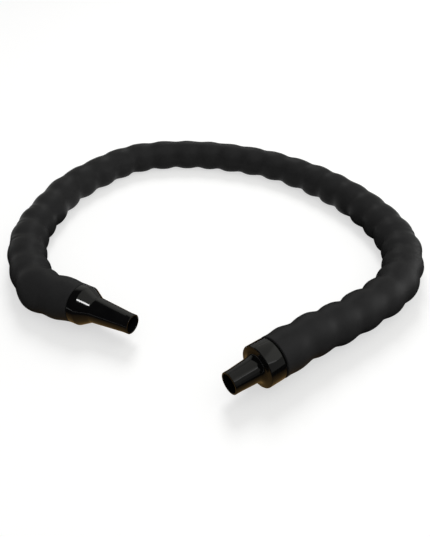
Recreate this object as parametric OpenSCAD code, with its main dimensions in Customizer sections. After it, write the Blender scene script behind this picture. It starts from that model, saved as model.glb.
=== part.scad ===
// Flexible suction hose with a padded, softly ringed sleeve and a swivelling push-in cuff at each end.
// It lies on the floor in an open loop. Millimetres, +Z up, floor at Z = 0.

/* [Hose] */
// Mean outside diameter of the sleeve, halfway between a bulge and a waist
hose_d = 60; // [56:1:66]
// How far a bulge stands out from the mean, and a waist lies in
bulge = 1.6; // [0.8:0.1:2.2]
// Mean distance from one bulge to the next along the hose
bulge_pitch = 51; // [40:1:60]
// How far the sleeve is bunched up towards its ends, as a share of the hose's length
bunching = 0.031; // [0:0.001:0.04]
// Thickness of the knitted cover
cover_wall = 1.5; // [1:0.1:2.5]
// Thickness of the suction liner
liner_wall = 2; // [1.5:0.1:2.6]
// Clear width of the suction liner
liner_bore = 32; // [30:0.5:34]

/* [Collars] */
// Outside diameter of both cuffs' collars
collar_d = 59; // [57:0.5:62]
// Thickness of a collar's wall over the journal that the cuff turns on
collar_wall = 4.5; // [3.5:0.1:5]
// Length of the journal, from the end of the sleeve
journal_l = 15; // [14:0.5:17]
// Radial running clearance of a cuff on its journal
running_gap = 0.08; // [0.03:0.01:0.1]
// End play of a cuff, at its back face and in its clip groove
end_play = 0.3; // [0.2:0.05:0.5]
// Width of the ring that finishes the sleeve's end
end_ring_w = 3; // [2:0.1:3.5]
// How far that ring lies below the collar
end_ring_drop = 2.2; // [1:0.1:2.5]

/* [Long cuff] */
// Length of the cuff beyond the end of the sleeve
long_reach = 97; // [85:1:120]
// Length of the collar, from the end of the sleeve to where its shoulder starts
long_collar_l = 15; // [15:0.5:24]
// Length of the conical shoulder
long_shoulder_l = 18.5; // [14:0.5:22]
// Radius of the rounded edge between collar and shoulder
long_edge_r = 2.5; // [1:0.5:4]
// Radius of the hollow fillet between shoulder and spigot
long_fillet_r = 7; // [3:0.5:9]
// Diameter of the spigot where it leaves the shoulder
long_root_d = 38.5; // [36:0.5:40]
// Diameter of the spigot at its tip
long_tip_d = 29; // [27:0.5:31]

/* [Short cuff] */
// Length of the cuff beyond the end of the sleeve
short_reach = 71; // [62:1:90]
// Length of the collar, from the end of the sleeve to where its shoulder starts
short_collar_l = 27; // [24:0.5:30]
// How far the steep shoulder leans forward on its way in
short_shoulder_l = 2; // [1:0.5:8]
// Radius of the rounded edge between collar and shoulder
short_edge_r = 1.5; // [1:0.5:4]
// Radius of the hollow fillet between shoulder and spigot
short_fillet_r = 8; // [3:0.5:9]
// Diameter of the spigot where it leaves the shoulder
short_root_d = 35; // [33:0.5:37]
// Diameter of the spigot at its tip
short_tip_d = 30.5; // [29:0.5:32]

/* [Spigots] */
// Wall of both spigots
spigot_wall = 2.2; // [1.6:0.1:3]
// Straight land at the tip, outside
land_l = 8; // [5:0.5:12]
// Straight bore behind the mouth
mouth_l = 20; // [12:1:24]
// Radius of the rounded edge of the lip
lip_r = 0.8; // [0.4:0.1:1]

/* [Inner fittings] */
// Length of the tail that is pushed into the liner
tail_l = 45; // [36:1:50]
// Wall of the tail
tail_wall = 2.2; // [1.8:0.1:3]
// Height of a barb above the tail
barb_h = 0.6; // [0.3:0.1:1]
// Distance from barb to barb
barb_pitch = 9; // [6:0.5:11]
// Number of barbs on a tail
barbs = 4; // [2:1:4]
// Thickness of a clamp band
band_t = 1; // [0.6:0.1:1.4]
// Width of a clamp band
band_w = 10; // [6:0.5:12]
// Distance from the end of the sleeve to the clamp band
band_back = 20; // [14:1:24]
// Cord diameter of a sealing ring
seal_d = 2; // [1.6:0.1:2.4]
// Thickness of a retaining clip
clip_t = 1.2; // [1:0.1:1.6]
// Radial width of a retaining clip
clip_w = 2; // [1.6:0.1:2.6]

/* [Hidden] */
$fn = 96;

// Where the sleeve ends, which way each cuff points from there, and the way the hose lies between
long_end = [-136.5, 61.5];
long_heading = -27.3;
short_end = [139, -42.5];
short_heading = -144.7;
bends = [
    [-242, 159], [-265, 244], [-258, 328], [-239, 413], [-190, 494], [-130, 556.5], [-55, 581.5],
    [35, 581.5], [115, 561.5], [190, 529], [260, 474], [315, 409], [355, 339], [381, 254],
    [379, 179], [342, 103], [270, 44]
];
span_steps = 8;
settle_l = 80;
// Straight stretch past the end of a tail
tail_margin = 3;

// The bunching is a little stronger towards the short cuff
bunch_skew = 1.15;

// A ring of the hose is an octagon whose lowest corner is cut flat where it rests on the floor,
// and is blunted a little where it doesn't
sides = 8;
flat_share = cos(180 / sides);
blunted = 0.985;

// Gap between layers that lie on each other, and round pieces that are seated
layer_gap = 0.3;
seat_gap = 0.05;

// Heights of the hose's axis: the collars rest on the floor. The soft hose settles past the
// stiff tails, until a tenth of its diameter is pressed flat
axis_z = collar_d / 2;
rest_z = hose_d / 2 + bulge - hose_d / 10;
stiff_l = tail_l + tail_margin;

// The hose runs straight for one diameter behind each cuff
straight_l = hose_d;

// Radii of the layers at the corners of the octagon
liner_in_r = liner_bore / 2 / flat_share;
liner_out_r = (liner_bore / 2 + liner_wall) / flat_share;
band_in_r = liner_out_r + seat_gap;
band_out_r = band_in_r + band_t;
padding_bore_r = liner_out_r + layer_gap;
padding_end_bore_r = (band_out_r + layer_gap) / flat_share;
band_zone_l = band_back + band_w + barb_pitch;

// Journal and cuff: the cuff's back face stands clear of the end ring, and its socket is
// deeper than the journal is long
journal_r = collar_d / 2 - collar_wall;
socket_r = journal_r + running_gap;
cuff_back = end_ring_w + end_play;
socket_spare_l = 1.5;
socket_l = journal_l + socket_spare_l;

// Roundings cross the faces that they run into by this much, and end in a fine edge
runout = 0.02;

// Tail, web and rim of the journal
tail_r = liner_bore / 2 - barb_h - seat_gap * 2;
tail_bore_r = tail_r - tail_wall;
barb_l = 0.6 * barb_pitch;
rim_wall = 3.6;
web_t = 3;

// Sealing ring, sunk below the journal
seal_at = 6;
seal_drop = 0.2;
seal_side_room = 0.3;
seal_groove_r = journal_r - seal_d - seal_drop;

// Retaining clip, half in the journal and half in the cuff
clip_back = 3.6;
clip_at = journal_l - clip_back;
clip_in_r = journal_r - clip_w / 2;
clip_out_r = clip_in_r + clip_w;
clip_split = 8;

// Cuts reach this far out of the body that they cut
cut = 1;

// ---- the way the hose lies ----

function heading(a) = [cos(a), sin(a)];
function flat(p) = [p[0], p[1]];

long_bend = long_end - straight_l * heading(long_heading);
short_bend = short_end - straight_l * heading(short_heading);
knots = concat([long_bend], bends, [short_bend]);
last_knot = len(knots) - 1;

// Direction and speed of the curve at each knot
function slope(i) =
    i == 0 ? -heading(long_heading) * norm(knots[1] - knots[0]) :
    i == last_knot ? heading(short_heading) * norm(knots[i] - knots[i - 1]) :
    (knots[i + 1] - knots[i - 1]) / 2;

// A cubic between two knots that keeps the slope of both
function between(i, t) =
    (2 * pow(t, 3) - 3 * pow(t, 2) + 1) * knots[i]
    + (pow(t, 3) - 2 * pow(t, 2) + t) * slope(i)
    + (3 * pow(t, 2) - 2 * pow(t, 3)) * knots[i + 1]
    + (pow(t, 3) - pow(t, 2)) * slope(i + 1);

plan = concat(
    [long_end],
    [for (i = [0 : last_knot - 1], k = [0 : span_steps - 1]) between(i, k / span_steps)],
    [short_bend, short_end]
);

// Distance run at each point of the plan
runs = [for (i = 0, s = 0; i < len(plan);
             s = i + 1 < len(plan) ? s + norm(plan[i + 1] - plan[i]) : s, i = i + 1) s];
hose_l = runs[len(runs) - 1];
east = [for (i = [0 : len(plan) - 1]) [runs[i], plan[i][0]]];
north = [for (i = [0 : len(plan) - 1]) [runs[i], plan[i][1]]];

function from_end(s) = min(s, hose_l - s);
function ease(u) = u <= 0 ? 0 : u >= 1 ? 1 : u * u * (3 - 2 * u);
function height(s) = axis_z + (rest_z - axis_z) * ease((from_end(s) - stiff_l) / settle_l);
function centre(s) = [lookup(s, east), lookup(s, north), height(s)];
function along(s) =
    let (a = centre(max(0, s - 1)), b = centre(min(hose_l, s + 1)))
    (b - a) / norm(b - a);

// ---- the layers of the hose ----

bulges = round(hose_l / bulge_pitch);
rings = 2 * bulges + 1;
function bunch(u) = u + bunching * pow(sin(180 * pow(u, bunch_skew)), 2);
function station(k) = hose_l * bunch(k / (rings - 1));
function swell(k) = k % 2 == 0 ? -bulge : bulge;

// The cover ends flush with the collars
function cover_out(k) = k == 0 || k == rings - 1 ? collar_d / 2 : hose_d / 2 + swell(k);
function cover_in(k) = cover_out(k) - cover_wall;
function padding_out(k) = cover_in(k) - layer_gap;
function padding_in(k) =
    from_end(station(k)) <= band_zone_l + hose_l / (rings - 1) ? padding_end_bore_r : padding_bore_r;

// The corners of one ring: an octagon in the plane square to the hose, with its lowest corner
// cut off level at the height of the floor that this layer rests on
function corners(k, r, floor_z) =
    let (
        c = centre(station(k)),
        t = along(station(k)),
        side = [t[1], -t[0], 0] / norm(flat(t)),
        up = cross(side, t),
        drop = min((c[2] - floor_z) / up[2], r * blunted),
        foot = (r - drop) / tan(180 / sides)
    )
    concat(
        [for (i = [0 : sides - 2]) let (a = 45 * (i - 1)) c + r * (cos(a) * side + sin(a) * up)],
        [c - foot * side - drop * up, c + foot * side - drop * up]
    );

corner_count = sides + 1;

function skin(first, inward) = [
    for (k = [0 : rings - 2], i = [0 : corner_count - 1])
        let (
            a = first + k * corner_count + i,
            b = first + k * corner_count + (i + 1) % corner_count,
            c = b + corner_count,
            d = a + corner_count
        )
        each (inward ? [[a, c, b], [a, d, c]] : [[a, b, c], [a, c, d]])
];

function rim(outer, inner, back) = [
    for (i = [0 : corner_count - 1])
        let (
            a = outer + i,
            b = outer + (i + 1) % corner_count,
            c = inner + (i + 1) % corner_count,
            d = inner + i
        )
        each (back ? [[a, c, b], [a, d, c]] : [[a, b, c], [a, c, d]])
];

// One layer: an outer and an inner skin, joined by a flat rim at each end
module layer(outer_points, inner_points) {
    inner_first = rings * corner_count;
    last_ring = (rings - 1) * corner_count;
    polyhedron(
        points = concat(outer_points, inner_points),
        faces = concat(
            skin(0, false),
            skin(inner_first, true),
            rim(0, inner_first, true),
            rim(last_ring, inner_first + last_ring, false)
        ),
        convexity = 10
    );
}

module sleeve_cover() {
    color([0.16, 0.165, 0.18])
        layer(
            [for (k = [0 : rings - 1]) each corners(k, cover_out(k), 0)],
            [for (k = [0 : rings - 1]) each corners(k, cover_in(k), cover_wall)]
        );
}

module sleeve_padding() {
    color([0.3, 0.3, 0.31])
        layer(
            [for (k = [0 : rings - 1]) each corners(k, padding_out(k), cover_wall + layer_gap)],
            [for (k = [0 : rings - 1]) each corners(k, padding_in(k), cover_wall)]
        );
}

module suction_liner() {
    color([0.1, 0.1, 0.1])
        layer(
            [for (k = [0 : rings - 1]) each corners(k, liner_out_r, 0)],
            [for (k = [0 : rings - 1]) each corners(k, liner_in_r, 0)]
        );
}

// ---- round pieces, drawn around Z with the end of the sleeve at Z = 0 ----

// Puts a round piece on the axis of one end, pointing out of the hose
module at_end(end, angle) {
    translate([end[0], end[1], axis_z])
        rotate([0, 0, angle])
            rotate([0, 90, 0])
                children();
}

module long_side() {
    at_end(long_end, long_heading) children();
}

module short_side() {
    at_end(short_end, short_heading) children();
}

// Half section of a plain ring
module ring_section(inner_r, outer_r, from, to) {
    translate([inner_r, from])
        square([outer_r - inner_r, to - from]);
}

// Outline of a cuff: collar, rounded edge, shoulder, hollow fillet, tapered spigot, land
module cuff_outline(reach, collar_l, shoulder_l, root_r, tip_r, edge_r, fillet_r) {
    edge = [collar_d / 2, collar_l];
    root = [root_r, collar_l + shoulder_l];
    land = [tip_r, reach - land_l];
    cone_way = (root - edge) / norm(root - edge);
    taper_way = (land - root) / norm(land - root);
    edge_run = edge_r * tan(acos(cone_way[1]) / 2);
    fillet_run = fillet_r * tan(acos(cone_way * taper_way) / 2);
    fillet_from = root - fillet_run * cone_way;
    fillet_c = fillet_from + (fillet_r - runout) * [cone_way[1], -cone_way[0]];
    edge_from = edge - [0, edge_run - runout];
    polygon([[0, cuff_back], [collar_d / 2, cuff_back], edge_from, edge + edge_run * cone_way,
             root, land, [tip_r, reach - lip_r], [tip_r - lip_r, reach - lip_r], [tip_r - lip_r, reach],
             [0, reach]]);
    translate(edge_from - [edge_r, 0])
        circle(edge_r);
    translate([tip_r - lip_r, reach - lip_r])
        circle(lip_r);
    difference() {
        polygon([[0, root[1]], fillet_from, fillet_c, root + fillet_run * taper_way]);
        translate(fillet_c)
            circle(fillet_r);
    }
}

// Hollow of a cuff: socket for the journal, clip groove, throat, straight mouth and rounded lip
module cuff_hollow(reach, neck, root_r, tip_r) {
    mouth_r = tip_r - spigot_wall;
    throat_r = root_r - spigot_wall;
    polygon([[0, cuff_back - cut], [socket_r, cuff_back - cut], [socket_r, socket_l], [throat_r, neck],
             [mouth_r, reach - mouth_l], [mouth_r, reach + cut], [0, reach + cut]]);
    ring_section(0, clip_out_r + end_play, clip_at - end_play, clip_at + clip_t + end_play);
    difference() {
        translate([mouth_r - lip_r, reach - lip_r])
            square([2 * lip_r, 2 * lip_r]);
        translate([mouth_r + lip_r, reach - lip_r])
            circle(lip_r);
    }
}

module cuff(reach, collar_l, shoulder_l, root_d, tip_d, edge_r, fillet_r) {
    rotate_extrude()
        difference() {
            cuff_outline(reach, collar_l, shoulder_l, root_d / 2, tip_d / 2, edge_r, fillet_r);
            cuff_hollow(reach, collar_l + shoulder_l, root_d / 2, tip_d / 2);
        }
}

module end_ring() {
    rotate_extrude()
        ring_section(journal_r + seat_gap, collar_d / 2 - end_ring_drop, 0, end_ring_w);
}

// Barbed tail, web and journal are one moulding
module hose_tail() {
    rotate_extrude()
        difference() {
            union() {
                ring_section(tail_bore_r, tail_r, -tail_l, journal_l);
                ring_section(tail_bore_r, journal_r, 0, web_t);
                ring_section(journal_r - rim_wall, journal_r, 0, journal_l);
                for (i = [1 : barbs])
                    translate([tail_r, -tail_l + (i - 1) * barb_pitch])
                        polygon([[-tail_wall / 2, 0], [0, 0], [barb_h, barb_l], [-tail_wall / 2, barb_l]]);
            }
            translate([seal_groove_r, seal_at - seal_d / 2 - seal_side_room])
                square([seal_d + cut, seal_d + 2 * seal_side_room]);
            translate([clip_in_r - seat_gap, clip_at - seat_gap])
                square([clip_w + cut, clip_t + 2 * seat_gap]);
        }
}

module seal() {
    rotate_extrude()
        translate([seal_groove_r + seat_gap + seal_d / 2, seal_at])
            circle(d = seal_d);
}

// A flat wire clip, open where it is spread to go on
module clip() {
    difference() {
        rotate_extrude()
            ring_section(clip_in_r, clip_out_r, clip_at, clip_at + clip_t);
        translate([0, -clip_split / 2, clip_at - cut])
            cube([clip_out_r + cut, clip_split, clip_t + 2 * cut]);
    }
}

module clamp_band() {
    rotate_extrude()
        ring_section(band_in_r, band_out_r, -band_back - band_w, -band_back);
}

// ---- the two ends ----

module long_cuff() {
    color([0.03, 0.03, 0.035])
        long_side()
            cuff(long_reach, long_collar_l, long_shoulder_l, long_root_d, long_tip_d,
                 long_edge_r, long_fillet_r);
}

module short_cuff() {
    color([0.03, 0.03, 0.035])
        short_side()
            cuff(short_reach, short_collar_l, short_shoulder_l, short_root_d, short_tip_d,
                 short_edge_r, short_fillet_r);
}

module long_end_ring() {
    color([0.05, 0.05, 0.055])
        long_side() end_ring();
}

module short_end_ring() {
    color([0.05, 0.05, 0.055])
        short_side() end_ring();
}

module long_hose_tail() {
    color([0.2, 0.2, 0.2])
        long_side() hose_tail();
}

module short_hose_tail() {
    color([0.2, 0.2, 0.2])
        short_side() hose_tail();
}

module long_seal() {
    color([0.35, 0.08, 0.06])
        long_side() seal();
}

module short_seal() {
    color([0.35, 0.08, 0.06])
        short_side() seal();
}

module long_clip() {
    color([0.7, 0.7, 0.72])
        long_side() clip();
}

module short_clip() {
    color([0.7, 0.7, 0.72])
        short_side() clip();
}

module long_clamp_band() {
    color([0.7, 0.7, 0.72])
        long_side() clamp_band();
}

module short_clamp_band() {
    color([0.7, 0.7, 0.72])
        short_side() clamp_band();
}

sleeve_cover();
sleeve_padding();
suction_liner();
long_cuff();
long_end_ring();
long_hose_tail();
long_seal();
long_clip();
long_clamp_band();
short_cuff();
short_end_ring();
short_hose_tail();
short_seal();
short_clip();
short_clamp_band();
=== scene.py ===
import math

import bpy
import numpy as np
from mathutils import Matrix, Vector


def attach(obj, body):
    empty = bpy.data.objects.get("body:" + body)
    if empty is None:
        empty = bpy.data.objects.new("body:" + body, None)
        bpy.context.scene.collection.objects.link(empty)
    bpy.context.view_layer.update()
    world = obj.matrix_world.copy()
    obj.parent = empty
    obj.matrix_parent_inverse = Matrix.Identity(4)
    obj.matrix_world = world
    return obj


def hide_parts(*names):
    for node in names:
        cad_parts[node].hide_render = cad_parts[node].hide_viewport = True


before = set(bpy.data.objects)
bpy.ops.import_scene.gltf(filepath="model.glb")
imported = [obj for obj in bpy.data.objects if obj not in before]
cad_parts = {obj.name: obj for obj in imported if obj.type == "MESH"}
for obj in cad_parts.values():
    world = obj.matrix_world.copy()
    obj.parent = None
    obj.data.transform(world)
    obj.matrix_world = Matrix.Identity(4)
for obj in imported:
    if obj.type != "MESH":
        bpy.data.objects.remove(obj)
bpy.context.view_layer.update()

mm = 0.001

# ---- Camera ----
# It stands over the open side of the loop, at about the height of a low table, and looks down
# across the two cuffs to the far side.
focal_px = 450
frame_height_px = 537
sensor_mm = 36
camera_tilt = math.radians(38.4)
camera_place = (0.0642, -0.4252, 0.4794)

bpy.ops.object.camera_add(location=camera_place, rotation=(math.pi / 2 - camera_tilt, 0, 0))
camera = bpy.context.object
camera.data.sensor_width = sensor_mm
camera.data.lens = sensor_mm * focal_px / frame_height_px
bpy.context.scene.camera = camera
bpy.context.scene.view_settings.view_transform = "Standard"

# ---- The way the hose lies ----
# The hose is one free length of 1.68 m. It leaves the long cuff straight, sinks past the stiff tail
# until a tenth of its diameter is pressed flat on the floor, and comes back to the short cuff.
hose_d = 60 * mm
bulge = 1.6 * mm
collar_r = 29.5 * mm
rest_z = hose_d / 2 + bulge - hose_d / 10
straight_l = hose_d
stiff_l = 48 * mm
settle_l = 80 * mm
lap_reach = 12 * mm
flat_blend = 1.2 * mm
long_heading, short_heading = math.radians(-27.3), math.radians(-144.7)
long_end = np.array([-136.5, 61.5]) * mm
short_end = np.array([139, -42.5]) * mm
bends = np.array([
    [-242, 159], [-265, 244], [-258, 328], [-239, 413], [-190, 494], [-130, 556.5], [-55, 581.5],
    [35, 581.5], [115, 561.5], [190, 529], [260, 474], [315, 409], [355, 339], [381, 254],
    [379, 179], [342, 103], [270, 44],
]) * mm
span_steps = 48


def heading(angle):
    return np.array([math.cos(angle), math.sin(angle)])


def lay_plan():
    """Points of the route seen from above: straight, then a cubic from knot to knot, then straight."""
    knots = np.vstack([
        long_end - straight_l * heading(long_heading), bends, short_end - straight_l * heading(short_heading)
    ])
    spans = np.linalg.norm(np.diff(knots, axis=0), axis=1)
    slopes = np.vstack([
        -heading(long_heading) * spans[0], (knots[2:] - knots[:-2]) / 2, heading(short_heading) * spans[-1]
    ])
    plan = [long_end]
    for i in range(len(knots) - 1):
        for t in np.arange(span_steps) / span_steps:
            plan.append(
                (2 * t**3 - 3 * t**2 + 1) * knots[i] + (t**3 - 2 * t**2 + t) * slopes[i]
                + (3 * t**2 - 2 * t**3) * knots[i + 1] + (t**3 - t**2) * slopes[i + 1]
            )
    return np.array(plan + [knots[-1], short_end])


plan = lay_plan()
runs = np.concatenate([[0], np.cumsum(np.linalg.norm(np.diff(plan, axis=0), axis=1))])
hose_l = runs[-1]


def centre(s):
    """Points of the hose's axis at distances s from its long end."""
    s = np.clip(s, 0, hose_l)
    share = np.clip((np.minimum(s, hose_l - s) - stiff_l) / settle_l, 0, 1)
    z = collar_r + (rest_z - collar_r) * share * share * (3 - 2 * share)
    return np.stack([np.interp(s, runs, plan[:, 0]), np.interp(s, runs, plan[:, 1]), z], axis=1)


def ring_axes(s):
    """Level directions across the hose at distances s, to the inside of the loop, and those above them."""
    step = 2 * mm
    ahead = centre(s + step) - centre(s - step)
    ahead /= np.linalg.norm(ahead, axis=1)[:, None]
    across = np.stack([ahead[:, 1], -ahead[:, 0], np.zeros(len(s))], axis=1)
    across /= np.linalg.norm(across, axis=1)[:, None]
    return across, np.cross(across, ahead)


def ring_points(s, turn, radius, floor_z, lap):
    """Points on a skin about the hose's axis. It is pressed flat where it would lie below floor_z, and
    pulled forward by lap at the long end."""
    across, above = ring_axes(s)
    out = across[:, None] * np.cos(turn)[None, :, None] + above[:, None] * np.sin(turn)[None, :, None]
    points = centre(s)[:, None] + radius(s[:, None], turn[None, :])[:, :, None] * out
    pulled = lap * np.exp(-((s / lap_reach) ** 2))
    points[:, :, :2] += pulled[:, None, None] * heading(long_heading)
    over = points[:, :, 2] - floor_z
    points[:, :, 2] = floor_z + (over + np.sqrt(over**2 + flat_blend**2)) / 2
    return points


def soft_tube(name, s, sides, radius, bore, floor_z=0.0, bore_floor_z=0.0, lap=0.0):
    """A soft tube on the hose's axis: two skins of rings at distances s, joined at both ends."""
    turn = np.arange(sides) * 2 * math.pi / sides - math.pi / 2
    outside = ring_points(s, turn, radius, floor_z, lap).reshape(-1, 3)
    inside = ring_points(s, turn, bore, bore_floor_z, lap).reshape(-1, 3)
    rings = len(s)
    here = np.arange(sides)
    ahead = (here + 1) % sides
    rows = np.arange(rings - 1)[:, None] * sides
    skin = np.stack([rows + here, rows + sides + here, rows + sides + ahead, rows + ahead], axis=2)
    skin = skin.reshape(-1, 4)
    inner = rings * sides
    last = (rings - 1) * sides
    near_rim = np.stack([here, ahead, inner + ahead, inner + here], axis=1)
    far_rim = np.stack([last + here, inner + last + here, inner + last + ahead, last + ahead], axis=1)
    faces = np.concatenate([skin, skin[:, ::-1] + inner, near_rim, far_rim])
    mesh = bpy.data.meshes.new(name)
    mesh.from_pydata(np.concatenate([outside, inside]).tolist(), [], faces.tolist())
    mesh.polygons.foreach_set("use_smooth", np.ones(len(faces), bool))

    along = np.concatenate([s.repeat(sides), s.repeat(sides)])
    around = np.tile(here, 2 * rings) * math.pi * hose_d / sides
    corners = faces.ravel()
    v = around[corners].reshape(-1, 4)
    # Faces that cross the seam run on past the full turn
    v[(v.max(axis=1) - v.min(axis=1) > hose_d)[:, None] & (v < hose_d)] += math.pi * hose_d
    layer = mesh.uv_layers.new(name="along")
    layer.data.foreach_set("uv", np.stack([along[corners], v.ravel()], axis=1).astype(np.float32).ravel())
    tube = bpy.data.objects.new(name, mesh)
    bpy.context.collection.objects.link(tube)
    return tube


# ---- Sleeve ----
# The outer cover is a thick, soft, matte black knitted tube over foam, which makes 33 gentle bulges,
# fuller on the inside of the loop. It creases where the hose bends hardest, and at the long end its
# hem is drawn over the ring that lies next to the cuff.
cover_wall = 1.5 * mm
hem_r = 1.6 * mm
hem_proud = 0.3 * mm
end_reach = 16 * mm
hem_reach = 7 * mm
hem_lap = 2 * mm
ring_r = 27.3 * mm
ring_gap = 0.15 * mm
sleeve_sides = 72
rng = np.random.default_rng(11)

# The waists between the bulges, as distances along the hose
waists = np.array([
    0, 51, 101, 150, 202, 252, 300, 355, 415, 473, 531, 585, 640, 696, 751, 802, 856,
    910, 965, 1022, 1073, 1119, 1169, 1215, 1261, 1309, 1351, 1395, 1445, 1491, 1541, 1587, 1633, 1682,
]) * mm
bulges = len(waists) - 1
bulge_spread = 0.12
bulge_sizes = 1 + bulge_spread * rng.uniform(-1, 1, bulges + 1)

# The bulges' fullness: the mean, what the inside of the loop and the underside have more, and what
# the top has less. Then how much sharper the waists are than the bulges
full_mean, full_inside, full_below, full_top = 1.16, 0.28, 0.2, 0.36
waist_sharp = 0.12

# How much fuller the hose is than its mean: distance along it, and extra radius
girth = np.array([
    (0, 0), (300, 0.4), (600, 1.6), (800, 1.2), (970, 0.2),
    (1080, 1.8), (1240, 2.0), (1400, 0.5), (1500, -0.9), (1682, -0.6),
]) * mm

# Slight unevenness: height, turns of phase to a bulge, waves round the hose, and start
ripples = [(0.22 * mm, 5.3, 2, 0), (0.15 * mm, 11.7, -3, 1)]

# Distance along the hose, angle round it, reach along and round, depth, and slant
creases = [
    (196 * mm, 140, 3.2 * mm, 34, 1.3 * mm, 9 * mm),
    (243 * mm, 146, 3.4 * mm, 40, 1.5 * mm, 6 * mm),
    (292 * mm, 138, 3.2 * mm, 36, 1.3 * mm, 10 * mm),
    (1296 * mm, 130, 3.2 * mm, 34, 1.0 * mm, -8 * mm),
    (1344 * mm, 132, 3.2 * mm, 34, 1.1 * mm, -8 * mm),
    (1376 * mm, 128, 3.0 * mm, 30, 0.9 * mm, -8 * mm),
]

# The cloth is pushed up beside each crease: a share of its depth, and the ridge's place and spread
ridge_share, ridge_at, ridge_spread = 0.55, 1.7, 1.6

# Near the long end the foam swells, low on the outside of the loop
swell_at, swell_angle, swell_reach, swell_spread, swell_height = 58 * mm, -144, 42 * mm, 42, 7 * mm

# Spacing of the sleeve's rings, and how near to a hem, a crease or an end each is used
hem_step, crease_step, plain_step = 0.3 * mm, 1.5 * mm, 3.3 * mm
hem_near, crease_near, end_near = 2 * mm, 12 * mm, 10 * mm


def eased(x, points, values):
    """Values between points, level at each point."""
    k = np.clip(np.searchsorted(points, x) - 1, 0, len(points) - 2)
    share = np.clip((x - points[k]) / (points[k + 1] - points[k]), 0, 1)
    return values[k] + (values[k + 1] - values[k]) * share * share * (3 - 2 * share)


def degrees_from(turn, angle):
    """How far round the hose each turn lies from an angle, from -180 to 180."""
    return (np.degrees(turn) - angle + 180) % 360 - 180


def sleeve_radius(s, turn):
    """The cover's outer radius: bulges and ripples, creases, slimmer ends, the swelling, and round hems."""
    count = np.interp(s, waists, np.arange(bulges + 1))
    phase = 2 * math.pi * count
    fullness = full_mean + full_inside * np.cos(turn) - full_below * np.sin(turn)
    fullness = fullness - full_top * np.maximum(np.sin(turn), 0) ** 4
    roll = bulge * fullness * eased(count, np.arange(bulges + 1), bulge_sizes)
    wave = np.cos(phase) + waist_sharp * np.cos(2 * phase)
    r = hose_d / 2 + eased(s, girth[:, 0], girth[:, 1]) - roll * wave
    for height, along, round_hose, start in ripples:
        r = r + height * np.sin(along * count + round_hose * turn + start)
    for at, angle, reach, spread, depth, slant in creases:
        off = degrees_from(turn, angle)
        x = (s - at - slant * np.radians(off)) / reach
        ridge = ridge_share * np.exp(-((x - ridge_at) ** 2) / ridge_spread)
        r = r + depth * np.exp(-((off / spread) ** 2)) * (ridge - np.exp(-(x**2)))
    to_end = np.minimum(s, hose_l - s)
    r = r + (collar_r + hem_proud - r) * np.exp(-((to_end / end_reach) ** 2))
    fade = np.exp(-((degrees_from(turn, swell_angle) / swell_spread) ** 2))
    fade = fade * (1 - np.exp(-((to_end / hem_reach) ** 2)))
    r = r + swell_height * fade * np.exp(-(((s - swell_at) / swell_reach) ** 2))
    hem = np.clip(hem_r - to_end, 0, hem_r)
    return r - (hem_r - np.sqrt(np.maximum(hem_r**2 - hem**2, 0)))


def sleeve_stations():
    """Ring places: close together at the hems and the creases, further apart between them."""
    stations, s = [0.0], 0.0
    while s < hose_l:
        to_end = min(s, hose_l - s)
        near = min(abs(s - crease[0]) for crease in creases)
        if to_end < hem_near:
            s += hem_step
        elif near < crease_near or to_end < end_near:
            s += crease_step
        else:
            s += plain_step
        stations.append(s)
    return np.array(stations[:-1] + [hose_l])


def sleeve_bore(s, turn):
    """The cover's inner face. At the hems it clears the end rings."""
    bore = sleeve_radius(s, turn) - cover_wall
    return np.where(np.minimum(s, hose_l - s) < 2 * hem_r, np.maximum(bore, ring_r + ring_gap), bore)


sleeve = soft_tube(
    "sleeve", sleeve_stations(), sleeve_sides, sleeve_radius, sleeve_bore,
    bore_floor_z=cover_wall, lap=hem_lap,
)


def new_material(name):
    material = bpy.data.materials.new(name)
    material.use_nodes = True
    nodes, links = material.node_tree.nodes, material.node_tree.links
    shader = nodes["Principled BSDF"]
    return material, nodes, links, shader


def put(nodes, kind, **values):
    """Adds a node and sets its properties and sockets by name."""
    node = nodes.new(kind)
    for key, value in values.items():
        if key in node.inputs:
            node.inputs[key].default_value = value
        else:
            setattr(node, key, value)
    return node


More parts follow.
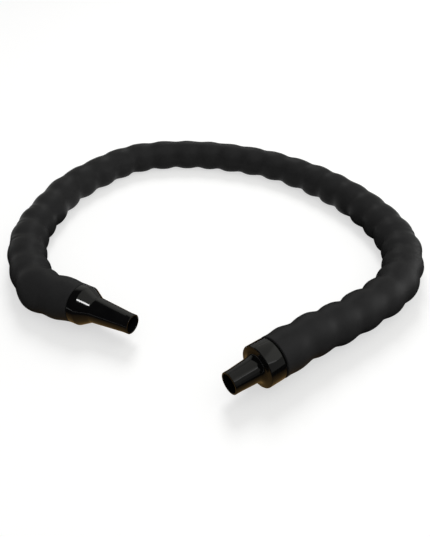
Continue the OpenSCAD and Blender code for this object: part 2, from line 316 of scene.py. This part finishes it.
def knit_material():
    """Fine knit, 1.1 mm to a stitch, with a slightly worn, uneven face."""
    material, nodes, links, shader = new_material("knit_black")
    shader.inputs["Roughness"].default_value = 0.45
    shader.inputs["Specular IOR Level"].default_value = 0.06
    uv = put(nodes, "ShaderNodeUVMap", uv_map="along")
    tone = put(nodes, "ShaderNodeTexNoise", Scale=38.0, Detail=4.0, Roughness=0.6)
    ramp = put(nodes, "ShaderNodeValToRGB")
    ramp.color_ramp.elements[0].position = 0.3
    ramp.color_ramp.elements[0].color = (0.018, 0.018, 0.0182, 1)
    ramp.color_ramp.elements[1].position = 0.7
    ramp.color_ramp.elements[1].color = (0.022, 0.022, 0.0222, 1)
    links.new(uv.outputs["UV"], tone.inputs["Vector"])
    links.new(tone.outputs["Fac"], ramp.inputs["Fac"])
    links.new(ramp.outputs["Color"], shader.inputs["Base Color"])
    wales = put(nodes, "ShaderNodeTexWave", bands_direction="Y", Scale=140.0, Distortion=0.6, Detail=1.0)
    courses = put(nodes, "ShaderNodeTexWave", bands_direction="X", Scale=160.0, Distortion=0.8, Detail=1.0)
    stitches = put(nodes, "ShaderNodeMath", operation="MULTIPLY")
    fuzz = put(nodes, "ShaderNodeTexNoise", Scale=900.0, Detail=2.0)
    height = put(nodes, "ShaderNodeMath", operation="MULTIPLY_ADD")
    height.inputs[1].default_value = 0.5
    bump = put(nodes, "ShaderNodeBump", Strength=0.25, Distance=0.0003)
    for wave in (wales, courses, fuzz):
        links.new(uv.outputs["UV"], wave.inputs["Vector"])
    links.new(wales.outputs["Fac"], stitches.inputs[0])
    links.new(courses.outputs["Fac"], stitches.inputs[1])
    links.new(fuzz.outputs["Fac"], height.inputs[0])
    links.new(stitches.outputs["Value"], height.inputs[2])
    links.new(height.outputs["Value"], bump.inputs["Height"])
    links.new(bump.outputs["Normal"], shader.inputs["Normal"])
    return material


sleeve.data.materials.append(knit_material())
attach(sleeve, "hose")
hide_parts("sleeve_cover")

# ---- Padding ----
# A soft tube of closed-cell foam fills the room between liner and cover. It is drawn over the liner
# first, and its rolls are the bulges that show in the cover.
layer_gap = 0.3 * mm
padding_bore_r = 20.1 * mm
padding_rings = 330
inner_sides = 40
pressed_foam = 2 * mm


def padding_radius(s, turn):
    return sleeve_bore(s, turn) - layer_gap


def plain_radius(r):
    """A radius that is the same all along the hose and all round it."""
    return lambda s, turn: r + 0 * s + 0 * turn


padding = soft_tube(
    "padding", np.linspace(0, hose_l, padding_rings), inner_sides,
    padding_radius, plain_radius(padding_bore_r),
    floor_z=cover_wall + layer_gap, bore_floor_z=cover_wall + pressed_foam,
)


def foam_material():
    """Dark grey foam with fine cells."""
    material, nodes, links, shader = new_material("foam_grey")
    shader.inputs["Roughness"].default_value = 0.9
    cells = put(nodes, "ShaderNodeTexVoronoi", Scale=900.0)
    ramp = put(nodes, "ShaderNodeValToRGB")
    ramp.color_ramp.elements[0].color = (0.05, 0.05, 0.052, 1)
    ramp.color_ramp.elements[1].color = (0.09, 0.09, 0.094, 1)
    bump = put(nodes, "ShaderNodeBump", Strength=0.5, Distance=0.0004)
    place = put(nodes, "ShaderNodeTexCoord")
    links.new(place.outputs["Object"], cells.inputs["Vector"])
    links.new(cells.outputs["Distance"], ramp.inputs["Fac"])
    links.new(ramp.outputs["Color"], shader.inputs["Base Color"])
    links.new(cells.outputs["Distance"], bump.inputs["Height"])
    links.new(bump.outputs["Normal"], shader.inputs["Normal"])
    return material


padding.data.materials.append(foam_material())
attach(padding, "hose")
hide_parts("sleeve_padding")

# ---- Suction liner ----
# The tube that the air goes through: flexible black plastic with a wire helix moulded into it. Its
# ends are pushed over the barbs of the hose tails.
liner_bore_r = 16 * mm
liner_wall = 2 * mm
liner_rings = 420

liner = soft_tube(
    "liner", np.linspace(0, hose_l, liner_rings), inner_sides,
    plain_radius(liner_bore_r + liner_wall), plain_radius(liner_bore_r),
)


def liner_material():
    """Black plastic with the helix raised in it."""
    material, nodes, links, shader = new_material("liner_black")
    shader.inputs["Roughness"].default_value = 0.45
    uv = put(nodes, "ShaderNodeUVMap", uv_map="along")
    helix = put(nodes, "ShaderNodeTexWave", bands_direction="X", Scale=26.0, Distortion=0.0)
    ramp = put(nodes, "ShaderNodeValToRGB")
    ramp.color_ramp.elements[0].color = (0.008, 0.008, 0.008, 1)
    ramp.color_ramp.elements[1].color = (0.016, 0.016, 0.016, 1)
    bump = put(nodes, "ShaderNodeBump", Strength=1.0, Distance=0.001)
    links.new(uv.outputs["UV"], helix.inputs["Vector"])
    links.new(helix.outputs["Fac"], ramp.inputs["Fac"])
    links.new(ramp.outputs["Color"], shader.inputs["Base Color"])
    links.new(helix.outputs["Fac"], bump.inputs["Height"])
    links.new(bump.outputs["Normal"], shader.inputs["Normal"])
    return material


liner.data.materials.append(liner_material())
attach(liner, "hose")
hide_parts("suction_liner")

# ---- Swivel cuffs ----
# Each cuff is one glossy black moulding, round about its axis: a collar, a shoulder, a hollow fillet,
# and a tapered open spigot with a straight land and a rounded lip. The long cuff's shoulder is a
# cone, and the short cuff's a steep step. Both turn on the journals of the hose tails.
turn_steps = 144
journal_r = 25 * mm
socket_r = 25.08 * mm
cuff_back = 3.3 * mm
socket_l = 16.5 * mm
clip_groove = (11.1 * mm, 12.9 * mm, 26.3 * mm)
spigot_wall = 2.2 * mm
land_l = 8 * mm
mouth_l = 20 * mm
lip_r = 0.8 * mm
edge_r = 0.35 * mm
taper_edge = 1 * mm
edge_steps, lip_steps, blend_steps = 5, 7, 10


def arc(along, out, r, start, stop, steps):
    """Points on an arc: angle 0 points along the cuff and 90 away from its axis."""
    angles = np.radians(np.linspace(start, stop, steps))
    return [(along + r * math.cos(a), out + r * math.sin(a)) for a in angles]


def cuff_section(reach, collar_l, shoulder_l, root_r, tip_r, shoulder_edge_r, fillet_r):
    """Half section of a cuff, from the back of its collar over the tip and back through the bore."""
    neck = collar_l + shoulder_l
    taper_l = reach - land_l - neck
    cone_lean = math.atan2(collar_r - root_r, shoulder_l)
    taper_lean = math.atan2(root_r - tip_r, taper_l)
    edge_run = shoulder_edge_r * math.tan(cone_lean / 2)
    fillet_run = fillet_r * math.tan((cone_lean - taper_lean) / 2)
    fillet_at = neck - fillet_run * math.cos(cone_lean) + fillet_r * math.sin(cone_lean)
    fillet_out = root_r + fillet_run * math.sin(cone_lean) + fillet_r * math.cos(cone_lean)
    cone, taper = math.degrees(cone_lean), math.degrees(taper_lean)
    land_at = reach - land_l
    mouth_r, throat_r = tip_r - spigot_wall, root_r - spigot_wall
    groove_from, groove_to, groove_r = clip_groove
    section = arc(cuff_back + edge_r, collar_r - edge_r, edge_r, 180, 90, edge_steps)
    edge_out = collar_r - shoulder_edge_r
    section += arc(collar_l - edge_run, edge_out, shoulder_edge_r, 90, 90 - cone, blend_steps)
    section += arc(fillet_at, fillet_out, fillet_r, 270 - cone, 270 - taper, blend_steps)
    section += [(land_at - taper_edge, tip_r + taper_edge * (root_r - tip_r) / taper_l), (land_at, tip_r)]
    section += arc(reach - lip_r, tip_r - lip_r, lip_r, 90, 0, lip_steps)
    section += arc(reach - lip_r, mouth_r + lip_r, lip_r, 0, -90, lip_steps)
    section += [(reach - mouth_l, mouth_r), (neck, throat_r), (socket_l, socket_r)]
    section += [(groove_to, socket_r), (groove_to, groove_r)]
    section += [(groove_from, groove_r), (groove_from, socket_r)]
    section += arc(cuff_back + edge_r, socket_r + edge_r, edge_r, 270, 180, edge_steps)
    return section


def turned(name, section, end, angle):
    """A round piece: a circle drawn along a half section, closed, and put on the axis of one end."""
    along, out = section[0]
    bpy.ops.object.select_all(action="DESELECT")
    bpy.ops.mesh.primitive_circle_add(vertices=turn_steps, radius=out, location=(0, 0, along))
    bpy.ops.object.transform_apply(location=True)
    piece = bpy.context.object
    piece.name = name
    bpy.ops.object.mode_set(mode="EDIT")
    bpy.ops.mesh.select_all(action="SELECT")
    for (a0, r0), (a1, r1) in zip(section, section[1:]):
        bpy.ops.mesh.extrude_edges_move(TRANSFORM_OT_translate={"value": (0, 0, a1 - a0)})
        bpy.ops.transform.resize(value=(r1 / r0, r1 / r0, 1), center_override=(0, 0, a1))
    bpy.ops.mesh.select_all(action="DESELECT")
    bpy.ops.mesh.select_non_manifold()
    bpy.ops.mesh.bridge_edge_loops()
    bpy.ops.mesh.select_all(action="SELECT")
    bpy.ops.mesh.normals_make_consistent(inside=False)
    bpy.ops.object.mode_set(mode="OBJECT")
    bpy.ops.object.shade_smooth_by_angle(angle=math.radians(35))
    piece.location = (end[0], end[1], collar_r)
    piece.rotation_euler = (0, math.pi / 2, angle)
    bpy.ops.object.transform_apply(location=True, rotation=True)
    return piece


def gloss_material():
    """Polished black moulding, with the faint waviness and hair scratches of handled plastic."""
    material, nodes, links, shader = new_material("gloss_black")
    shader.inputs["Specular IOR Level"].default_value = 0.4
    place = put(nodes, "ShaderNodeTexCoord")
    smear = put(nodes, "ShaderNodeTexNoise", Scale=60.0, Detail=3.0)
    rough = put(nodes, "ShaderNodeMapRange")
    rough.inputs["To Min"].default_value = 0.06
    rough.inputs["To Max"].default_value = 0.14
    tone = put(nodes, "ShaderNodeValToRGB")
    tone.color_ramp.elements[0].color = (0.003, 0.003, 0.0032, 1)
    tone.color_ramp.elements[1].color = (0.006, 0.006, 0.0062, 1)
    hair = put(nodes, "ShaderNodeTexNoise", Scale=1400.0, Detail=2.0)
    bump = put(nodes, "ShaderNodeBump", Strength=0.03, Distance=0.0002)
    for texture in (smear, hair):
        links.new(place.outputs["Object"], texture.inputs["Vector"])
    links.new(smear.outputs["Fac"], rough.inputs["Value"])
    links.new(rough.outputs["Result"], shader.inputs["Roughness"])
    links.new(smear.outputs["Fac"], tone.inputs["Fac"])
    links.new(tone.outputs["Color"], shader.inputs["Base Color"])
    links.new(hair.outputs["Fac"], bump.inputs["Height"])
    links.new(bump.outputs["Normal"], shader.inputs["Normal"])
    return material


gloss_black = gloss_material()
long_section = cuff_section(
    reach=97 * mm, collar_l=15 * mm, shoulder_l=18.5 * mm, root_r=19.25 * mm, tip_r=14.5 * mm,
    shoulder_edge_r=2.5 * mm, fillet_r=7 * mm,
)
short_section = cuff_section(
    reach=71 * mm, collar_l=27 * mm, shoulder_l=2 * mm, root_r=17.5 * mm, tip_r=15.25 * mm,
    shoulder_edge_r=1.5 * mm, fillet_r=8 * mm,
)
cuffs = {
    "long": (long_section, long_end, long_heading),
    "short": (short_section, short_end, short_heading),
}
for side, (section, end, angle) in cuffs.items():
    cuff = turned(f"{side}_swivel_cuff", section, end, angle)
    cuff.data.materials.append(gloss_black)
    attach(cuff, f"{side}_cuff")
    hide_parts(f"{side}_cuff")

# ---- End rings ----
# A narrow ring of matte black rubber sits on each journal, between the sleeve and the cuff. It lies
# a little below the collar, so it shows as a black line between them.
ring_w = 3 * mm
seat_gap = 0.05 * mm
ring_bore_r = journal_r + seat_gap
ring_section = arc(edge_r, ring_r - edge_r, edge_r, 180, 90, edge_steps)
ring_section += arc(ring_w - edge_r, ring_r - edge_r, edge_r, 90, 0, edge_steps)
ring_section += [(ring_w, ring_bore_r), (0, ring_bore_r)]


def ring_material():
    """Dull black rubber."""
    material, _, _, shader = new_material("ring_black")
    shader.inputs["Base Color"].default_value = (0.002, 0.002, 0.002, 1)
    shader.inputs["Roughness"].default_value = 0.8
    shader.inputs["Specular IOR Level"].default_value = 0.1
    return material


ring_black = ring_material()
for side, (_, end, angle) in cuffs.items():
    ring = turned(f"{side}_sleeve_ring", ring_section, end, angle)
    ring.data.materials.append(ring_black)
    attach(ring, "hose")
    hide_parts(f"{side}_end_ring")

# ---- Inner fittings ----
# A moulded tail is pushed into each end of the liner and held there by a steel clamp band. The cuff
# turns on the tail's journal over a rubber seal, and a spring clip keeps it on. All of them are the
# CAD's own solids, and each kind has its own finish.


def plain_material(name, low, high, roughness, metallic=0.0, grain=300.0):
    """A finish with a fine grain between two tones."""
    material, nodes, links, shader = new_material(name)
    shader.inputs["Roughness"].default_value = roughness
    shader.inputs["Metallic"].default_value = metallic
    place = put(nodes, "ShaderNodeTexCoord")
    noise = put(nodes, "ShaderNodeTexNoise", Scale=grain, Detail=3.0)
    ramp = put(nodes, "ShaderNodeValToRGB")
    ramp.color_ramp.elements[0].color = (*low, 1)
    ramp.color_ramp.elements[1].color = (*high, 1)
    bump = put(nodes, "ShaderNodeBump", Strength=0.15, Distance=0.0001)
    links.new(place.outputs["Object"], noise.inputs["Vector"])
    links.new(noise.outputs["Fac"], ramp.inputs["Fac"])
    links.new(ramp.outputs["Color"], shader.inputs["Base Color"])
    links.new(noise.outputs["Fac"], bump.inputs["Height"])
    links.new(bump.outputs["Normal"], shader.inputs["Normal"])
    return material


tail_black = plain_material("tail_black", (0.02,) * 3, (0.03,) * 3, roughness=0.5)
seal_red = plain_material("seal_red", (0.16, 0.02, 0.015), (0.2, 0.03, 0.02), roughness=0.6)
clip_steel = plain_material("clip_steel", (0.5,) * 3, (0.62,) * 3, roughness=0.28, metallic=1.0, grain=900.0)
band_steel = plain_material("band_steel", (0.45,) * 3, (0.6,) * 3, roughness=0.35, metallic=1.0, grain=900.0)
finishes = {
    "hose_tail": (tail_black, "tail_plastic"),
    "seal": (seal_red, "seal_rubber"),
    "clip": (clip_steel, "spring_steel"),
    "clamp_band": (band_steel, "band_steel"),
}
for side in cuffs:
    for piece_name, (material, slot_name) in finishes.items():
        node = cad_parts[f"{side}_{piece_name}"]
        node.data.materials.clear()
        node.data.materials.append(material)

# ---- Floor ----
# A plain pale sheet lies under the hose, and pale air closes the room behind it. Both look white to
# the eye and in the gloss, while they give the hose only a little light.
white = (1, 1, 1, 1)
floor_grey = (0.5, 0.5, 0.5, 1)
floor_glow = 0.6
floor_size = 40
floor_drop = 0.3 * mm
air_light, air_seen = 0.3, 1.0


def combined(nodes, links, operation, first, second):
    """One value worked out of two."""
    both = put(nodes, "ShaderNodeMath", operation=operation)
    links.new(first, both.inputs[0])
    links.new(second, both.inputs[1])
    return both.outputs["Value"]


def seen_directly(nodes, links):
    """1 for what the camera sees itself or in a reflection, 0 for what only gives light."""
    rays = put(nodes, "ShaderNodeLightPath").outputs
    straight_or_gloss = combined(nodes, links, "MAXIMUM", rays["Is Camera Ray"], rays["Is Glossy Ray"])
    return combined(nodes, links, "MAXIMUM", straight_or_gloss, rays["Is Transmission Ray"])


def floor_material():
    """Looks almost white, but gives back only half of the light that falls on it."""
    material, nodes, links, shader = new_material("floor_white")
    nodes.remove(shader)
    diffuse = put(nodes, "ShaderNodeBsdfDiffuse", Color=floor_grey)
    glow = put(nodes, "ShaderNodeEmission", Color=white)
    strength = put(nodes, "ShaderNodeMath", operation="MULTIPLY")
    strength.inputs[1].default_value = floor_glow
    both = put(nodes, "ShaderNodeAddShader")
    links.new(seen_directly(nodes, links), strength.inputs[0])
    links.new(strength.outputs["Value"], glow.inputs["Strength"])
    links.new(diffuse.outputs["BSDF"], both.inputs[0])
    links.new(glow.outputs["Emission"], both.inputs[1])
    links.new(both.outputs["Shader"], nodes["Material Output"].inputs["Surface"])
    return material


def flat_sheet(name, size, x, y, drop, material):
    """A level square sheet, a little below the hose."""
    bpy.ops.object.select_all(action="DESELECT")
    bpy.ops.mesh.primitive_plane_add(size=size, location=(x, y, -drop))
    bpy.ops.object.transform_apply(location=True)
    sheet = bpy.context.object
    sheet.name = name
    sheet.data.materials.append(material)
    return sheet


floor = flat_sheet("floor", floor_size, 0, 0, floor_drop, floor_material())

world = bpy.data.worlds.new("studio")
bpy.context.scene.world = world
world.use_nodes = True
nodes, links = world.node_tree.nodes, world.node_tree.links
air = put(nodes, "ShaderNodeMapRange")
air.inputs["To Min"].default_value = air_light
air.inputs["To Max"].default_value = air_seen
links.new(seen_directly(nodes, links), air.inputs["Value"])
links.new(air.outputs["Result"], nodes["Background"].inputs["Strength"])
nodes["Background"].inputs["Color"].default_value = white

# ---- Lamps ----
# A wide level softbox hangs over the right and the back of the loop. It lights the floor and the
# cuffs, and a window behind the loop adds to the shadows on the floor. The matte sleeve has three
# panels of its own, so that its light can be set without changing what the gloss mirrors.
panel_x, panel_y, panel_z = (-0.4, 3.4), (-0.8, 4.6), 2.0
panel_middle = (sum(panel_x) / 2, sum(panel_y) / 2)
panel_w, panel_l = panel_x[1] - panel_x[0], panel_y[1] - panel_y[0]


def square_lamp(name, place, width, height, glow):
    """A square-cornered lamp that the camera doesn't see. Its glow is the brightness of its face."""
    bpy.ops.object.light_add(type="AREA", location=place)
    lamp = bpy.context.object
    lamp.name = name
    lamp.data.shape = "RECTANGLE"
    lamp.data.size, lamp.data.size_y = width, height
    lamp.data.energy = glow * math.pi * width * height
    lamp.visible_camera = False
    return lamp


def lights_only(lamp, name, pieces):
    """Lets a lamp light no other pieces than these."""
    lit = bpy.data.collections.new(name)
    for piece in pieces:
        lit.objects.link(piece)
    lamp.light_linking.receiver_collection = lit


def small_lamp(name, seen_from, way, away, width, height, glow, lit_piece):
    """A small lamp, some way off in a given direction, turned to the point that it is seen from."""
    way = Vector(way).normalized()
    lamp = square_lamp(name, Vector(seen_from) + away * way, width, height, glow)
    lamp.rotation_mode = "QUATERNION"
    lamp.rotation_quaternion = way.to_track_quat("Z", "Y")
    lights_only(lamp, f"{name}_lit", [lit_piece])


long_cuff = bpy.data.objects["long_swivel_cuff"]
short_cuff = bpy.data.objects["short_swivel_cuff"]
all_but_sleeve = [piece for piece in bpy.data.objects if piece.type == "MESH" and piece != sleeve]

softbox = square_lamp("softbox", (*panel_middle, panel_z), panel_w, panel_l, glow=0.55)
softbox.data.color = (1, 1, 0.93)
lights_only(softbox, "all_but_sleeve", all_but_sleeve)

bpy.ops.object.light_add(type="SUN", location=(0, 3, 3), rotation=(math.radians(-48), 0, 0))
window = bpy.context.object
window.name = "window"
window.data.energy = 1.6
window.data.angle = math.radians(22)
window.visible_glossy = False
lights_only(window, "floor_alone", [floor])

small_lamp(
    "left_glint", seen_from=(-0.115, 0.05, 0.05), way=(0.168, -0.53, 0.83), away=2.0,
    width=0.3, height=0.3, glow=30, lit_piece=long_cuff,
)
small_lamp(
    "top_panel", seen_from=(0.2, 0.3, 0.03), way=(0.1, -0.3, 1), away=1.6,
    width=2.6, height=2.6, glow=1.05, lit_piece=sleeve,
)
small_lamp(
    "side_panel", seen_from=(0.36, 0.25, 0.03), way=(0.95, 0.1, 0.4), away=1.0,
    width=0.7, height=0.7, glow=3.0, lit_piece=sleeve,
)
small_lamp(
    "back_glint", seen_from=(0.06, 0.58, 0.06), way=(0, 0.8, 0.6), away=2.0,
    width=0.6, height=0.3, glow=8, lit_piece=sleeve,
)

# The softbox's front edge is brighter where the short cuff mirrors it
edge_strip_place = (2.05, -0.92, panel_z - 0.01)
edge_strip = square_lamp("edge_strip", edge_strip_place, width=2.3, height=0.24, glow=1.5)
lights_only(edge_strip, "edge_strip_lit", [short_cuff])

# ---- Cloth and glowing cards ----
# Black cloth closes the room above and around the softbox, so that the gloss of the cuffs stays deep.
# Its grey glow on the right and at the back is a painted reflection of a lit room. A dark glowing
# card covers the floor on the right, and a warm glowing card under the cuffs paints the warm brown
# reflection low on them. They show only in the gloss.
cloth_r, cloth_h, cloth_z = 7, 3, 0.7
cloth_edge = 0.1
back_from, back_to, back_grey = 1.9, 3.2, 0.45
right_x, right_y, right_grey = (1.0, 1.3), (-4.6, -3.6), 0.3
board_drop = 0.1 * mm
# Glow colours of the cards, painted reflections: deep brown for a dark floor, warm brown below the cuffs
deep_brown = (0.004, 0.003, 0.002, 1)
warm_brown = (0.31, 0.19, 0.07, 1)
warm_r, dark_r = 0.05, 0.16
# Where the warm card glows brown: a painted warm reflection below each cuff
warm_glow_spots = {"Color1": (-0.09, 0.03, 0), "Color2": (0.10, -0.08, 0)}


def glowing_material(name, colour):
    """A material that shows its colour whatever the light on it."""
    material, nodes, links, shader = new_material(name)
    nodes.remove(shader)
    glow = put(nodes, "ShaderNodeEmission", Color=colour)
    links.new(glow.outputs["Emission"], nodes["Material Output"].inputs["Surface"])
    return material, nodes, links, glow


def reflection_card(piece):
    """Makes a piece a part of the stage that shows only in reflections."""
    piece.visible_camera = piece.visible_diffuse = piece.visible_shadow = piece.visible_transmission = False


def rise(nodes, links, value, start, stop, top=1.0):
    """0 up to a start, growing evenly to the top at a stop."""
    slope = put(nodes, "ShaderNodeMapRange")
    slope.inputs["From Min"].default_value = start
    slope.inputs["From Max"].default_value = stop
    slope.inputs["To Max"].default_value = top
    links.new(value, slope.inputs["Value"])
    return slope.outputs["Result"]


def cloth_material():
    """Black, with a painted grey glow on the right and at the back where the softbox doesn't cover it."""
    material, nodes, links, glow = glowing_material("cloth_black", (1, 1, 0.95, 1))
    place = put(nodes, "ShaderNodeTexCoord")
    axes = put(nodes, "ShaderNodeSeparateXYZ")
    links.new(place.outputs["Object"], axes.inputs["Vector"])
    x, y = axes.outputs["X"], axes.outputs["Y"]
    left_of_panel = rise(nodes, links, x, panel_x[0], panel_x[0] - cloth_edge)
    behind_panel = rise(nodes, links, y, panel_y[1], panel_y[1] + cloth_edge)
    beside = combined(nodes, links, "MAXIMUM", left_of_panel, behind_panel)
    far_back = rise(nodes, links, y, back_from, back_to, back_grey)
    at_back = combined(nodes, links, "MULTIPLY", far_back, beside)
    far_right = rise(nodes, links, x, *right_x, right_grey)
    on_right = combined(nodes, links, "MULTIPLY", far_right, rise(nodes, links, y, *right_y))
    links.new(combined(nodes, links, "MAXIMUM", at_back, on_right), glow.inputs["Strength"])
    return material


# A near-black glowing card: a painted dark reflection of the floor on the right
def dark_glow_card_material():
    return glowing_material("painted_dark_reflection", deep_brown)[0]


def warm_glow_card_material():
    """Glows warm brown below each of the two cuffs and dark further out: a painted warm reflection."""
    material, nodes, links, glow = glowing_material("painted_warm_reflection", white)
    place = put(nodes, "ShaderNodeTexCoord")
    tint = put(nodes, "ShaderNodeMixRGB", blend_type="LIGHTEN")
    tint.inputs["Fac"].default_value = 1
    links.new(tint.outputs["Color"], glow.inputs["Color"])
    for side_of_tint, middle in warm_glow_spots.items():
        away = put(nodes, "ShaderNodeVectorMath", operation="DISTANCE")
        away.inputs[1].default_value = middle
        ramp = put(nodes, "ShaderNodeValToRGB")
        ramp.color_ramp.elements[0].position = warm_r
        ramp.color_ramp.elements[0].color = warm_brown
        ramp.color_ramp.elements[1].position = dark_r
        ramp.color_ramp.elements[1].color = deep_brown
        links.new(place.outputs["Object"], away.inputs[0])
        links.new(away.outputs["Value"], ramp.inputs["Fac"])
        links.new(ramp.outputs["Color"], tint.inputs[side_of_tint])
    return material


cloth_place = (*panel_middle, cloth_z)
bpy.ops.object.select_all(action="DESELECT")
bpy.ops.mesh.primitive_cylinder_add(vertices=64, radius=cloth_r, depth=cloth_h, location=cloth_place)
bpy.ops.object.transform_apply(location=True)
cloth = bpy.context.object
cloth.name = "black_cloth"
cloth.data.materials.append(cloth_material())
reflection_card(cloth)

# A near-black glowing card on the right that paints a dark reflection in the cuffs' gloss
dark_board = flat_sheet(
    "dark_board", size=8, x=4.8, y=-1.0, drop=board_drop, material=dark_glow_card_material()
)
# A glowing card under the cuffs that paints the warm brown reflection in their gloss
warm_board = flat_sheet(
    "warm_board", size=1.6, x=0.0, y=-0.45, drop=board_drop, material=warm_glow_card_material()
)
for board in (dark_board, warm_board):
    reflection_card(board)
